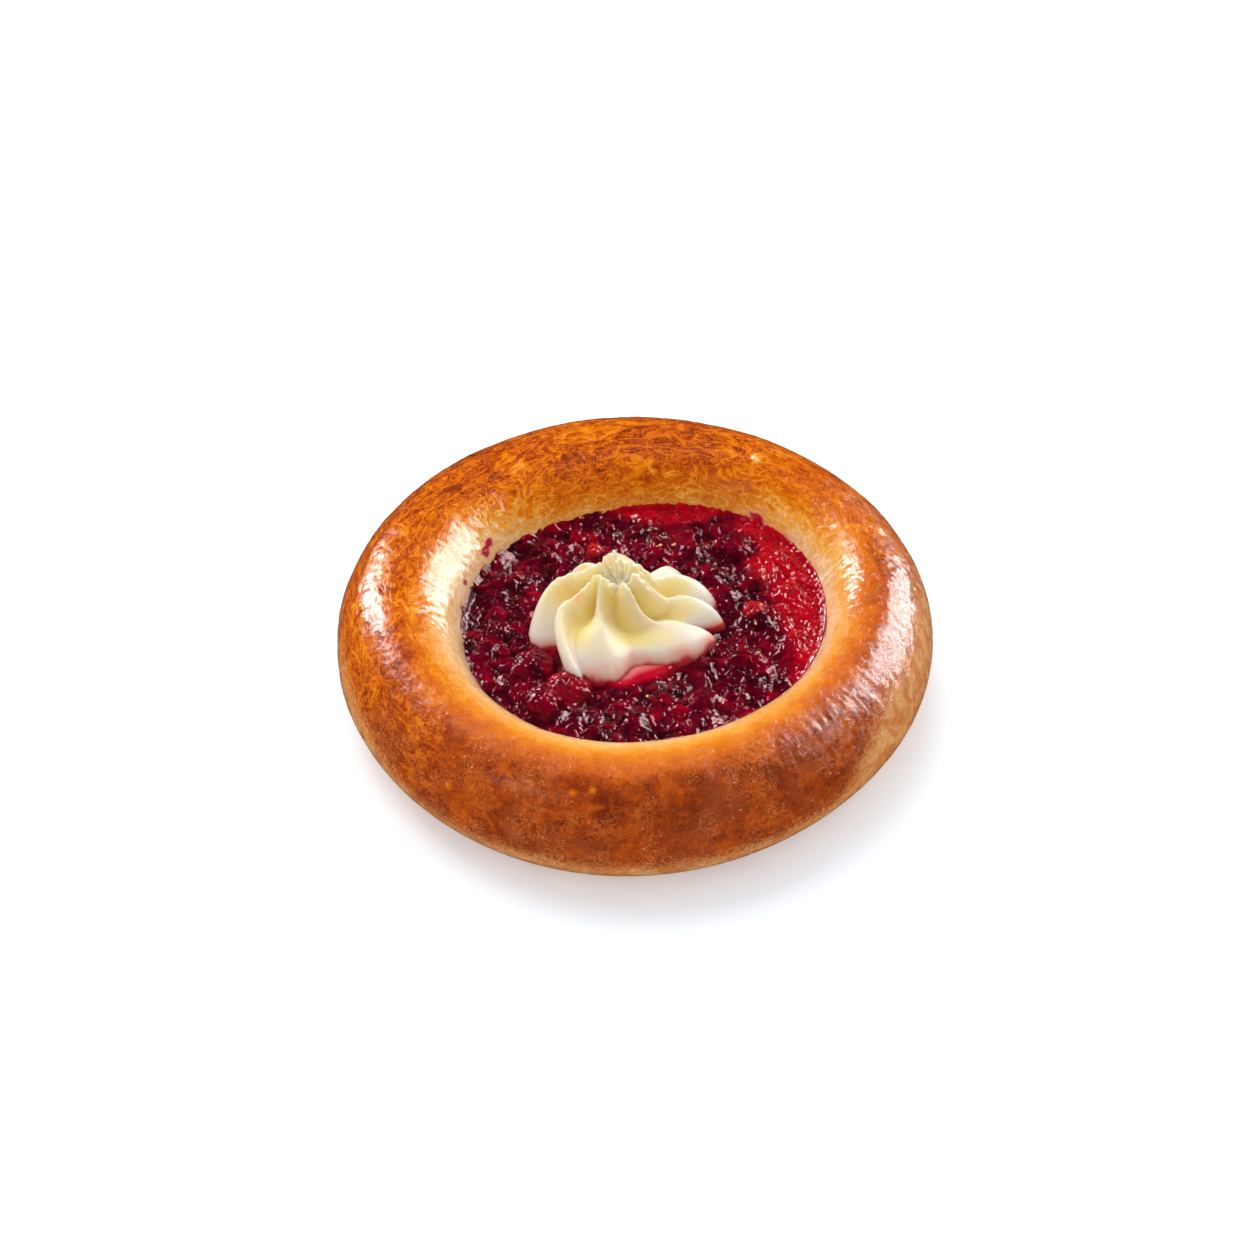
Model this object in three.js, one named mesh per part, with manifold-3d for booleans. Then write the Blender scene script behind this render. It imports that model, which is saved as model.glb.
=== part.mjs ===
// A kolache: a round bun of sweet yeast dough, baked with a well in its middle. The well holds a
// filling of stewed berries, and a rosette of cream is piped on the berries.
// Millimetres, +Z up. The origin is on the surface that the bun stands on, under its middle.
// The bun is seen best from -Y, looking down at it.
import * as THREE from "three";
import Module from "manifold-3d";

const degrees = THREE.MathUtils.degToRad;

// ---------------------------------------------------------------- driving dimensions

const bunAcross = 112; // at the waist, the widest line round the bun
const ringWidth = 23.4; // of the dough, from the waist to the wall of the well
const waistHeight = 10.2;
const crownHeight = 24.1; // top of the ring
const tuckDepth = 10.6; // how far the side would curl in under the waist; the base cuts it off flat
const floorThickness = 5; // dough under the filling
const wellCorner = 7; // radius of the corner between the wall and the floor of the well
const flatRing = 0.4; // radius of the ring of points within each flat face, as a share of the face's radius

const fillingLevel = 15.5;
const clearance = 0.3; // between neighbouring solids
const creamSunk = 0.9; // how far the cream has sunk into the berries
const berrySize = 9; // length of the largest of the small berries
const berryCount = 44;
const smallestBerry = 0.6; // as a share of the largest of the small ones
const berryWidth = 0.85; // as a share of its length
const berryFlatness = 0.62; // height of a berry as a share of its length
const berryRise = [0.7, 1.5]; // how far a berry stands out of the jelly
const largeBerries = [
  { x: -18.5, y: -13, size: 5.4, rise: 1.6 },
  { x: -12.5, y: -20.5, size: 5.2, rise: 1.5 },
];
const fillingWave = 0.45; // height of the waves on the surface of the filling
const waveTurn = { x: 0.55, y: 0.48, across: 0.31 }; // radians of a wave to one millimetre
const waveFade = 4; // width of the border without waves along the wall

const creamHeight = 15; // of the highest torn tip over the berries
const creamDimple = 9.2; // height of the hollow in the middle of the top
const creamCover = 17; // radius round its middle in which the cream hides the berries
const creamEdge = 2; // thickness of the rounded edge at the foot
const creamCentre = new THREE.Vector2(-1.5, -1);
const creamLean = new THREE.Vector2(-2.5, 1.3); // from the middle of the foot to the middle of the top

// The ridges that the star nozzle left, anticlockwise from the left one. From the middle of the top a
// ridge leaves at the angle top, turns through middle to foot, and ends reach mm from the middle.
// Tip is its height where it is torn off and shoulder the height of its lower stretch, as shares of the
// whole. Notch is how much of the usual cut there is in the foot between it and the next ridge.
const creamRidges = [
  { top: 150, middle: 166, foot: 197, reach: 18.8, tip: 0.8, shoulder: 0.68, notch: 1 },
  { top: 184, middle: 201, foot: 248, reach: 18.9, tip: 0.74, shoulder: 0.6, notch: 0.1 },
  { top: 216, middle: 248, foot: 262, reach: 16.4, tip: 0.8, shoulder: 0.46, notch: 1 },
  { top: 300, middle: 334, foot: 345, reach: 17.6, tip: 0.76, shoulder: 0.3, notch: 1 },
  { top: 355, middle: 370, foot: 361, reach: 18.6, tip: 0.8, shoulder: 0.37, notch: 1 },
  { top: 387, middle: 393, foot: 381, reach: 18.2, tip: 0.88, shoulder: 0.5, notch: 1 },
  { top: 412, middle: 412, foot: 416, reach: 17, tip: 0.8, shoulder: 0.44, notch: 1 },
  { top: 450, middle: 458, foot: 464, reach: 17.4, tip: 0.92, shoulder: 0.55, notch: 1 },
  { top: 486, middle: 488, foot: 496, reach: 16, tip: 0.88, shoulder: 0.6, notch: 1 },
];
const tornTip = 0.07; // how far the torn end of a ridge stands up over it, as a share of the height

// The valleys between the ridges: how deep they cut in and down, as shares of radius and height, how
// much nearer they run to the ridge before them than to the next one, how round they are, and how many
// radians they lag behind the ridges at the foot.
const valleys = {
  inTop: 0.34,
  inFoot: 0.26,
  downTop: 0.24,
  downFoot: 0.52,
  shift: 0.13,
  roundTop: 1.3,
  roundFoot: 2.4,
  lag: 0.1,
};

// Where along a ridge, from 0 in the middle of the top to 1 at the foot, each stretch of it lies.
const stretches = {
  dimple: [0, 0.14],
  torn: { at: 0.2, reach: 0.07 },
  steep: [0.15, 0.48],
  firstTurn: [0.25, 0.6],
  lastTurn: 0.6,
  footRound: [0.55, 1],
  edge: 0.82,
};
const dropPower = 4; // the higher, the nearer to the foot a ridge drops
const curlPower = 1.4; // the higher, the nearer to the foot a ridge curls

// Dough rises unevenly. Each lobe adds size mm to a radius, in so many waves round the bun.
const rimLobes = [
  { waves: 2, size: 0.6, at: degrees(76) },
  { waves: 3, size: 0.45, at: degrees(16) },
  { waves: 4, size: 0.25, at: degrees(0) },
];
const wellLobes = [
  { waves: 1, size: 2.1, at: degrees(-28) },
  { waves: 2, size: 1.45, at: degrees(35) },
  { waves: 3, size: 0.55, at: degrees(29) },
  { waves: 4, size: 0.3, at: degrees(-34) },
];

const rimRadius = bunAcross / 2;
const wellRadius = rimRadius - ringWidth;
const crownRadius = (rimRadius + wellRadius) / 2;
const crownRise = crownHeight - waistHeight;

// ---------------------------------------------------------------- shared shaping

const clamp = THREE.MathUtils.clamp;
const smoothstep = THREE.MathUtils.smoothstep;
const lerp = THREE.MathUtils.lerp;

function lobed(lobes, angle) {
  return lobes.reduce((sum, lobe) => sum + lobe.size * Math.cos(lobe.waves * (angle - lobe.at)), 0);
}

// How far a point of the evenly turned bun moves out: with the rim near the rim, with the well
// near the well, and less and less towards the middle.
function unevenRadius(radius, angle) {
  const share = smoothstep(radius, wellRadius, rimRadius);
  const inward = clamp(radius / wellRadius, 0, 1);
  return radius + inward * lerp(lobed(wellLobes, angle), lobed(rimLobes, angle), share);
}

// Turns a profile of [radius, height] points about Z, then moves each point by shape(radius, angle, height).
function turned(profile, segments, shape) {
  const points = profile.map(([radius, height]) => new THREE.Vector2(radius, height));
  const geometry = new THREE.LatheGeometry(points, segments);
  geometry.rotateX(Math.PI / 2);
  const position = geometry.getAttribute("position");
  const point = new THREE.Vector3();
  for (let i = 0; i < position.count; i++) {
    point.fromBufferAttribute(position, i);
    const radius = Math.hypot(point.x, point.y);
    const made = shape(radius, Math.atan2(point.y, point.x), point.z);
    position.setXYZ(i, made.x, made.y, made.z);
  }
  geometry.computeVertexNormals();
  return geometry;
}

function polar(radius, angle, height) {
  return new THREE.Vector3(radius * Math.cos(angle), radius * Math.sin(angle), height);
}

// Points along an arc of an ellipse round [radius, height], from one angle to another.
function arc([radius, height], [across, up], from, to, steps) {
  const points = [];
  for (let i = 0; i <= steps; i++) {
    const angle = lerp(from, to, i / steps);
    points.push([radius + across * Math.cos(angle), height + up * Math.sin(angle)]);
  }
  return points;
}

// ---------------------------------------------------------------- the dough

const halfWidth = ringWidth / 2;
const section = [crownRadius, waistHeight]; // middle of the ring's cross-section

// The radius of the well's wall at a height above the waist.
function wallRadius(height) {
  const rise = (height - waistHeight) / crownRise;
  return crownRadius - halfWidth * Math.sqrt(1 - rise * rise);
}

// The rounded corner from the wall down to the floor of the well, or of what fits it with a gap.
function cornerOfWell(gap) {
  const middle = [wellRadius - gap - wellCorner, waistHeight + gap];
  return arc(middle, [wellCorner, waistHeight - floorThickness], 0, -Math.PI / 2, 3);
}

function makeDough() {
  const segments = 72;
  const tuckAngle = -Math.asin(waistHeight / tuckDepth); // where the base cuts the tuck
  const baseRadius = crownRadius + halfWidth * Math.cos(tuckAngle);
  const profile = [
    [0, 0],
    [baseRadius * flatRing, 0],
    ...arc(section, [halfWidth, tuckDepth], tuckAngle, 0, 5),
    ...arc(section, [halfWidth, crownRise], 0, Math.PI, 18).slice(1),
    ...cornerOfWell(0).slice(1),
    [wellRadius * flatRing, floorThickness],
    [0, floorThickness],
  ];
  const shape = (radius, angle, height) => polar(unevenRadius(radius, angle), angle, height);
  return turned(profile, segments, shape);
}

// ---------------------------------------------------------------- the cream

// A smooth curve through four values in a row, between the middle two.
function smoothBetween([last, first, second, following], share) {
  const straight = 2 * first + (second - last) * share;
  const bent = (2 * last - 5 * first + 4 * second - following) * share ** 2;
  const twice = (3 * (first - second) + following - last) * share ** 3;
  return (straight + bent + twice) / 2;
}

// The ridge at a place on the way round the rosette: at whole numbers one of the ridges, and between
// them a mixture of its neighbours. Share says how far the place is from one to the next.
function ridgeAt(place) {
  const count = creamRidges.length;
  const before = Math.floor(place + 1e-6);
  const share = Math.max(0, place - before);
  const mixed = (key, wholeTurn = 0) => {
    const values = [-1, 0, 1, 2].map((step) => {
      const turns = Math.floor((before + step) / count);
      return creamRidges[before + step - turns * count][key] + turns * wholeTurn;
    });
    return smoothBetween(values, share);
  };
  return {
    share,
    top: degrees(mixed("top", 360)),
    middle: degrees(mixed("middle", 360)),
    foot: degrees(mixed("foot", 360)),
    reach: mixed("reach"),
    tip: mixed("tip"),
    shoulder: mixed("shoulder"),
    notch: creamRidges[before % count].notch,
  };
}

// How far out has come from start to the foot, from 0 to 1.
function after(start, out) {
  return clamp((out - start) / (1 - start), 0, 1);
}

// A point of the rosette's surface. Out runs from 0 in the middle of the top to 1 at the foot.
function creamPoint(place, out) {
  const ridge = ridgeAt(place);
  const round = lerp(valleys.roundTop, valleys.roundFoot, smoothstep(out, ...stretches.footRound));
  const shifted = ridge.share + valleys.shift * Math.sin(Math.PI * ridge.share);
  const valley = Math.abs(Math.sin(Math.PI * shifted)) ** round;

  const level = 1 - out ** dropPower; // the lower stretch stays nearly level and drops at the foot
  const steep = smoothstep(out, ...stretches.steep);
  const ridgeHeight = ridge.shoulder * level + (ridge.tip - ridge.shoulder) * (1 - steep);
  const down = lerp(valleys.downTop, valleys.downFoot, steep) * valley * level;
  const fromTorn = (out - stretches.torn.at) / stretches.torn.reach;
  const torn = tornTip * (1 - valley) ** 2 * Math.exp(-(fromTorn ** 2));
  const cut = ridgeHeight * (1 - down) + torn;
  const height = lerp(creamDimple / creamHeight, cut, smoothstep(out, ...stretches.dimple));
  const edge = Math.sqrt(1 - after(stretches.edge, out) ** 2);

  const firstTurn = smoothstep(out, ...stretches.firstTurn);
  const lastTurn = after(stretches.lastTurn, out) ** curlPower;
  const angle =
    ridge.top +
    (ridge.middle - ridge.top) * firstTurn +
    (ridge.foot - ridge.middle) * lastTurn -
    valleys.lag * valley * out;

  const depth = lerp(valleys.inTop, valleys.inFoot * ridge.notch, out) * valley;
  const rise = height * (creamHeight + creamSunk - creamEdge) + edge * creamEdge;
  const made = polar(ridge.reach * out * (1 - depth), angle, fillingLevel - creamSunk + rise);
  made.x += creamCentre.x + creamLean.x * height * height;
  made.y += creamCentre.y + creamLean.y * height * height;
  return made;
}

function makeCream() {
  const segments = 12 * creamRidges.length;
  const steps = 16;
  const profile = [
    [0, 0],
    [0.5, 0],
  ];
  for (let i = steps; i >= 0; i--) profile.push([i / steps, 1 - i / steps]);
  return turned(profile, segments, (share, angle, rise) => {
    const place = creamRidges.length * (angle / (2 * Math.PI) + 0.5);
    if (rise > 0) return creamPoint(place, 1 - rise);
    const foot = creamPoint(place, 1);
    return foot.lerp(new THREE.Vector3(creamCentre.x, creamCentre.y, foot.z), 1 - share);
  });
}

// ---------------------------------------------------------------- the filling

// The same draw on every run: a number from 0 to 1 for each piece and each use.
function draw(piece, use) {
  const value = Math.sin(piece * 12.9898 + use * 78.233) * 43758.5453;
  return value - Math.floor(value);
}

function makeFillingCore() {
  const segments = 72;
  const gap = clearance;
  const rim = wallRadius(fillingLevel) - gap;
  const bottom = floorThickness + gap;
  const midWall = (waistHeight + fillingLevel) / 2;
  const topRings = 12;
  const profile = [
    [0, bottom],
    [wellRadius * flatRing, bottom],
    ...cornerOfWell(gap).reverse(),
    [wallRadius(midWall) - gap, midWall],
  ];
  for (let i = 0; i <= topRings; i++) {
    profile.push([rim * (1 - i / topRings), fillingLevel]);
  }
  return turned(profile, segments, (radius, angle, height) => {
    const made = polar(unevenRadius(radius, angle), angle, height);
    if (height === Math.fround(fillingLevel)) {
      const crossed = Math.sin(made.x * waveTurn.x + 1) * Math.cos(made.y * waveTurn.y);
      const waves = crossed + Math.sin((made.x + made.y) * waveTurn.across);
      made.z += fillingWave * waves * smoothstep(rim - radius, 0, waveFade);
    }
    return made;
  });
}

// The berries that show in the filling. Two large ones lie beside the cream; the others are spread
// evenly by the golden angle, each with its own size, and left out where the cream covers them.
function berryPlaces() {
  const goldenAngle = Math.PI * (3 - Math.sqrt(5));
  const reach = wallRadius(fillingLevel) - berrySize * 0.55;
  const small = Array.from({ length: berryCount }, (_, i) => {
    const radius = reach * Math.sqrt((i + 0.5) / berryCount);
    const spot = polar(unevenRadius(radius, i * goldenAngle), i * goldenAngle, 0);
    const size = (berrySize / 2) * lerp(smallestBerry, 1, draw(i, 1));
    return { x: spot.x, y: spot.y, size, rise: lerp(...berryRise, draw(i, 2)) };
  });
  const shows = (berry) => {
    const fromCream = Math.hypot(berry.x - creamCentre.x, berry.y - creamCentre.y);
    const gaps = largeBerries.map((large) => Math.hypot(berry.x - large.x, berry.y - large.y) - large.size);
    return fromCream > creamCover + berry.size * 0.6 && Math.min(...gaps) > berry.size * 0.4;
  };
  return [...largeBerries, ...small.filter(shows)];
}

const wasm = await Module();
wasm.setup();

// A closed mesh as a solid that can be joined to others.
function solidOf(geometry) {
  const flat = geometry.index ? geometry.toNonIndexed() : geometry;
  const found = new Map();
  const points = [];
  const triangles = [];
  const position = flat.getAttribute("position");
  for (let i = 0; i < position.count; i++) {
    const point = [position.getX(i), position.getY(i), position.getZ(i)];
    const key = point.map((value) => Math.round(value * 1e4)).join();
    if (!found.has(key)) {
      found.set(key, points.length / 3);
      points.push(...point);
    }
    triangles.push(found.get(key));
  }
  const whole = [];
  for (let i = 0; i < triangles.length; i += 3) {
    const corners = triangles.slice(i, i + 3);
    if (new Set(corners).size === 3) whole.push(...corners);
  }
  return new wasm.Manifold(
    new wasm.Mesh({
      numProp: 3,
      vertProperties: new Float32Array(points),
      triVerts: new Uint32Array(whole),
    }),
  );
}

function geometryOf(solid) {
  const mesh = solid.getMesh();
  const geometry = new THREE.BufferGeometry();
  geometry.setAttribute("position", new THREE.BufferAttribute(mesh.vertProperties, 3));
  geometry.setIndex(new THREE.BufferAttribute(mesh.triVerts, 1));
  geometry.computeVertexNormals();
  return geometry;
}

// The seat of the rosette in the berries: a plug with the rosette's outline from above and a gap round it.
function makeCreamSeat() {
  const segments = 96;
  const outline = new Array(segments).fill(0);
  const cream = makeCream().getAttribute("position");
  for (let i = 0; i < cream.count; i++) {
    const [x, y] = [cream.getX(i) - creamCentre.x, cream.getY(i) - creamCentre.y];
    const place = Math.floor((Math.atan2(y, x) / (2 * Math.PI) + 1) * segments);
    for (const near of [place - 1, place, place + 1, place + 2]) {
      outline[near % segments] = Math.max(outline[near % segments], Math.hypot(x, y) + 2 * clearance);
    }
  }
  const [low, high] = [fillingLevel - creamSunk - clearance, fillingLevel + berrySize];
  const profile = [
    [0, low],
    [1, low],
    [1, high],
    [0, high],
  ];
  return turned(profile, segments, (share, angle, height) => {
    const place = Math.round((angle / (2 * Math.PI) + 1) * segments);
    const made = polar(share * outline[place % segments], angle, height);
    made.x += creamCentre.x;
    made.y += creamCentre.y;
    return made;
  });
}

function makeFilling() {
  let filling = solidOf(makeFillingCore());
  for (const [i, place] of berryPlaces().entries()) {
    const berry = new THREE.IcosahedronGeometry(place.size, place.size > 5 ? 3 : 1);
    berry.scale(1, berryWidth, berryFlatness);
    berry.rotateZ(Math.PI * draw(i, 3));
    berry.translate(place.x, place.y, fillingLevel + place.rise - place.size * berryFlatness);
    filling = filling.add(solidOf(berry));
  }
  return geometryOf(filling.subtract(solidOf(makeCreamSeat())));
}

// ---------------------------------------------------------------- the whole bun

function finish(color, roughness) {
  return new THREE.MeshStandardMaterial({ color, roughness, metalness: 0 });
}

function named(name, geometry, material) {
  const mesh = new THREE.Mesh(geometry, material);
  mesh.name = name;
  return mesh;
}

const kolache = new THREE.Group();
kolache.add(named("dough_ring", makeDough(), finish("#c46a1c", 0.3)));
kolache.add(named("berry_filling", makeFilling(), finish("#6b0710", 0.15)));
kolache.add(named("cream_rosette", makeCream(), finish("#f2e7c8", 0.45)));

// The lobes leave the ring a little off centre: bring the middle of its box back to the origin.
const middle = new THREE.Box3().setFromObject(kolache).getCenter(new THREE.Vector3());
kolache.position.set(-middle.x, -middle.y, 0);

export default kolache;
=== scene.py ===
"""A kolache: a glazed bun of sweet yeast dough with stewed berries in its well and a rosette of cream.

Each piece is modelled in millimetres round the axis of the bun's well, and then moved into the
frame, which is in metres. The bun is seen from -Y, with +Z up.
"""
import math

import bpy
import numpy as np
from mathutils import Matrix, Vector


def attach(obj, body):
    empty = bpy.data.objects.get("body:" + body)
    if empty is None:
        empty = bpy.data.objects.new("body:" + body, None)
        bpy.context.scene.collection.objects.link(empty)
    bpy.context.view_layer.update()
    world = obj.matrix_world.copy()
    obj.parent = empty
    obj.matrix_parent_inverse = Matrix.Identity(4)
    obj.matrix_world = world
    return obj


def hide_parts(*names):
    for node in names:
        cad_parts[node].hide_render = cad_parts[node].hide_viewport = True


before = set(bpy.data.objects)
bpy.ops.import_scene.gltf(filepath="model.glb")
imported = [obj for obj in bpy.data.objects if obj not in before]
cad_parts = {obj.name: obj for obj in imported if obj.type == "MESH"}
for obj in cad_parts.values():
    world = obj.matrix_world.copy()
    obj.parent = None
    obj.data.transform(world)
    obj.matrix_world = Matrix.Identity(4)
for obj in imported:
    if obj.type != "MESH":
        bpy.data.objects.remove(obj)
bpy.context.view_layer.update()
MM = 0.001

# ---------------------------------------------------------------- camera
# A long lens, 43 degrees above the table, aimed at the bun's axis a little above the table. The
# lens is shifted so that the bun lies in the frame where the photograph has it.
bun_across, ring_width = 112.0, 23.4
rim_radius = bun_across / 2
well_radius = rim_radius - ring_width
rim_lobes = ((2, 0.6, 76), (3, 0.45, 16), (4, 0.25, 0))  # waves round the bun, size, and degrees to a crest
well_lobes = ((1, 2.1, -28), (2, 1.45, 35), (3, 0.55, 29), (4, 0.3, -34))


def push(lobes, angle):
    """How far the lobes push the bun out of round at an angle."""
    return sum(size * np.cos(waves * (angle - math.radians(at))) for waves, size, at in lobes)


def in_scene(name, data):
    """A new object with this mesh, lamp or camera, in the scene."""
    made = bpy.data.objects.new(name, data)
    bpy.context.collection.objects.link(made)
    return made


around = np.radians(np.arange(360))
rim = rim_radius + push(rim_lobes, around)
rim_x, rim_y = rim * np.cos(around), rim * np.sin(around)
bun_axis = Vector((-(rim_x.max() + rim_x.min()) / 2, -(rim_y.max() + rim_y.min()) / 2, 0))
to_frame = Matrix.Scale(MM, 4) @ Matrix.Translation(bun_axis)

camera_height = math.radians(43.2)
camera_distance = 976.0
aim_height = 12.0
aim_pixel = (633.5, 635.1)
photo_size = 1254

camera_data = bpy.data.cameras.new("camera")
camera_data.lens = 150
camera_data.sensor_width = 36
camera_data.shift_x = (photo_size / 2 - aim_pixel[0]) / photo_size
camera_data.shift_y = (aim_pixel[1] - photo_size / 2) / photo_size
camera = in_scene("camera", camera_data)
back_off = Vector((0, -math.cos(camera_height), math.sin(camera_height))) * camera_distance
camera.location = to_frame @ (Vector((0, 0, aim_height)) + back_off)
camera.rotation_euler = (math.radians(90) - camera_height, 0, 0)
bpy.context.scene.camera = camera
bpy.context.scene.view_settings.view_transform = "Standard"


# ---------------------------------------------------------------- table and light
# A plain white table in a bright studio. Two windows stand behind the bun, one on each side, and leave
# the long highlights on the glaze. Weak boards at the front left and above are mirrored too. The light
# itself comes from a wide sky behind the bun and from the walls.
class Wire:
    """A node's output. Sums and products of wires and numbers add the Math nodes that work them out."""

    def __init__(self, nodes, socket):
        self.nodes = nodes
        self.socket = socket

    def _math(self, operation, *values):
        return self.nodes.add("ShaderNodeMath", dict(enumerate(values)), operation=operation)

    def __add__(self, other):
        return self._math("ADD", self, other)

    def __radd__(self, other):
        return self._math("ADD", other, self)

    def __sub__(self, other):
        return self._math("SUBTRACT", self, other)

    def __rsub__(self, other):
        return self._math("SUBTRACT", other, self)

    def __mul__(self, other):
        return self._math("MULTIPLY", self, other)

    def __rmul__(self, other):
        return self._math("MULTIPLY", other, self)

    def __truediv__(self, other):
        return self._math("DIVIDE", self, other)

    def __rtruediv__(self, other):
        return self._math("DIVIDE", other, self)

    def __abs__(self):
        return self._math("ABSOLUTE", self)

    def sine(self):
        return self._math("SINE", self)

    def cosine(self):
        return self._math("COSINE", self)

    def most(self, other):
        return self._math("MAXIMUM", self, other)

    def least(self, other):
        return self._math("MINIMUM", self, other)

    def above(self, other):
        return self._math("GREATER_THAN", self, other)

    def rising(self, start, end):
        """0 up to start and 1 from end on, with a smooth step between them. Start may be the larger one."""
        return self.nodes.add(
            "ShaderNodeMapRange",
            {"Value": self, "From Min": start, "From Max": end},
            interpolation_type="SMOOTHSTEP",
        )

    def output(self, name):
        """Another output of the same node."""
        return Wire(self.nodes, self.socket.node.outputs[name])


class Nodes:
    """Adds nodes to the tree of one material or of one Geometry Nodes group."""

    def __init__(self, tree):
        self.tree = tree

    def add(self, kind, inputs=None, stops=None, **settings):
        """A node with its settings, its ramp's stops, and a value or a wire for each of its inputs."""
        node = self.tree.nodes.new(kind)
        for name, value in settings.items():
            setattr(node, name, value)
        if stops:
            ramp = node.color_ramp
            while len(ramp.elements) < len(stops):
                ramp.elements.new(1)
            for element, (position, colour) in zip(ramp.elements, stops):
                element.position = position
                element.color = colour
        for key, value in (inputs or {}).items():
            socket = node.inputs[key] if isinstance(key, int) else next(
                socket for socket in node.inputs if socket.enabled and socket.name == key
            )
            if isinstance(value, Wire):
                self.tree.links.new(value.socket, socket)
            else:
                socket.default_value = value
        shown = [socket for socket in node.outputs if socket.enabled]
        return Wire(self, shown[0]) if shown else None

    def noise(self, place, scale, detail=2.0, distortion=0.0, offset=0.0):
        """Cloudy noise from 0 to 1, with scale waves to a unit. Each offset gives another stretch of it."""
        moved = self.vector("MULTIPLY_ADD", place, (scale,) * 3, (offset, offset * 0.7, -offset))
        inputs = {"Vector": moved, "Scale": 1.0, "Detail": detail, "Distortion": distortion}
        return self.add("ShaderNodeTexNoise", inputs)

    def millimetres(self):
        """The place on the piece, in millimetres."""
        place = self.add("ShaderNodeTexCoord").output("Object")
        return self.add("ShaderNodeVectorMath", {0: place, 3: 1 / MM}, operation="SCALE")

    def vector(self, operation, *values):
        return self.add("ShaderNodeVectorMath", dict(enumerate(values)), operation=operation)

    def parts(self, vector):
        """The x, y and z of a vector."""
        split = self.add("ShaderNodeSeparateXYZ", {0: vector})
        return split.output("X"), split.output("Y"), split.output("Z")

    def stored(self, geometry, name, value, data_type="FLOAT"):
        """The geometry with a value kept on each of its points under a name, for its material to read."""
        inputs = {"Geometry": geometry, "Name": name, "Value": value}
        return self.add("GeometryNodeStoreNamedAttribute", inputs, data_type=data_type)

    def mark(self, name):
        """The value that the mesh keeps under a name."""
        return self.add("ShaderNodeAttribute", attribute_name=name).output("Fac")

    def mix(self, share, first, second):
        return self.add("ShaderNodeMix", {"Factor": share, "A": first, "B": second}, data_type="RGBA")


def srgb(*eight_bit):
    """A colour as the eye reads it, red, green and blue from 0 to 255, as light, with an alpha of 1."""
    shares = [value / 255 for value in eight_bit]
    light = [((share + 0.055) / 1.055) ** 2.4 if share > 0.04 else share / 12.92 for share in shares]
    return (*light, 1.0)


def material(name, **constants):
    """A new material: its nodes, its shader, and the shader's sockets that hold one value all over."""
    made = bpy.data.materials.new(name)
    made.use_nodes = True
    shader = made.node_tree.nodes["Principled BSDF"]
    for socket, value in constants.items():
        shader.inputs[socket.replace("_", " ").title().replace("Ior", "IOR")].default_value = value
    return made, Nodes(made.node_tree), shader


def wire_up(shader, **sockets):
    """Feeds the shader's sockets with what changes over the surface."""
    for name, wire in sockets.items():
        shader.id_data.links.new(wire.socket, shader.inputs[name.replace("_", " ").title()])


def softbox(name, turn, height, distance, across, radiance, mirrored, lights=True):
    """A rectangular light that faces the bun, at degrees turned to the right of straight behind it and
    degrees above the table. Radiance is its own brightness: 1 looks white. One that isn't mirrored
    leaves no highlight, and one that doesn't light shows only as a reflection."""
    lamp_data = bpy.data.lights.new(name, "AREA")
    lamp_data.shape = "RECTANGLE"
    lamp_data.size, lamp_data.size_y = across
    lamp_data.energy = radiance * math.pi * across[0] * across[1]
    lamp = in_scene(name, lamp_data)
    turn, height = math.radians(turn), math.radians(height)
    level = math.cos(height)
    lamp.location = Vector((level * math.sin(turn), level * math.cos(turn), math.sin(height))) * distance
    lamp.rotation_euler = (-lamp.location).to_track_quat("-Z", "Y").to_euler()
    lamp.visible_camera = False
    lamp.visible_glossy = mirrored
    lamp.visible_diffuse = lights


softbox("window_left", -42, 23, 1.2, (0.26, 0.62), 20, mirrored=True, lights=False)
softbox("window_right", 55, 22, 1.2, (0.86, 1.0), 14, mirrored=True, lights=False)
softbox("board_front", -135, 38, 1.2, (0.45, 0.35), 0.8, mirrored=True, lights=False)
softbox("board_above", 0, 78, 1.2, (0.5, 0.35), 0.4, mirrored=True, lights=False)
softbox("sky", -26, 55, 1.3, (1.2, 1.0), 3.35, mirrored=False)

# The walls are white to the eye and a little darker as light. They are almost black as reflections,
# so that only the windows and the boards show in the glaze.
wall_light, wall_seen, wall_mirrored = 0.78, 1.0, 0.03
studio = bpy.data.worlds.new("studio")
studio.use_nodes = True
nodes = Nodes(studio.node_tree)
ray = nodes.add("ShaderNodeLightPath")
mirrored, seen = ray.output("Is Glossy Ray"), ray.output("Is Camera Ray")
walls = wall_light + (wall_mirrored - wall_light) * mirrored + (wall_seen - wall_light) * seen
background = studio.node_tree.nodes["Background"]
background.inputs["Color"].default_value = (1, 1, 1, 1)
studio.node_tree.links.new(walls.socket, background.inputs["Strength"])
bpy.context.scene.world = studio

table_across = 4.0
corner = table_across / 2
table_corners = [(-corner, -corner, 0), (corner, -corner, 0), (corner, corner, 0), (-corner, corner, 0)]
table_mesh = bpy.data.meshes.new("table")
table_mesh.from_pydata(table_corners, [], [(0, 1, 2, 3)])
table = in_scene("table", table_mesh)
table.visible_glossy = False

# Round the bun the table glows more and is bluer, so that the bun's shadow stays pale and neutral.
shadow_inside, shadow_outside = 40.0, 120.0
table_finish, nodes, shader = material("table_finish", specular_ior_level=0.1, emission_strength=1.0)
place = nodes.millimetres()
near_bun = nodes.vector("LENGTH", place).output("Value").rising(shadow_outside, shadow_inside)
table_colour = nodes.mix(near_bun, (0.9, 0.9, 0.9, 1), (0.8, 0.86, 0.92, 1))
glow = nodes.mix(near_bun, (0.1, 0.1, 0.1, 1), (0.26, 0.285, 0.305, 1))
table_roughness = 0.6 + 0.1 * nodes.noise(place, 0.06)
wire_up(shader, roughness=table_roughness, base_color=table_colour, emission_color=glow)
table_mesh.materials.append(table_finish)


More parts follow.
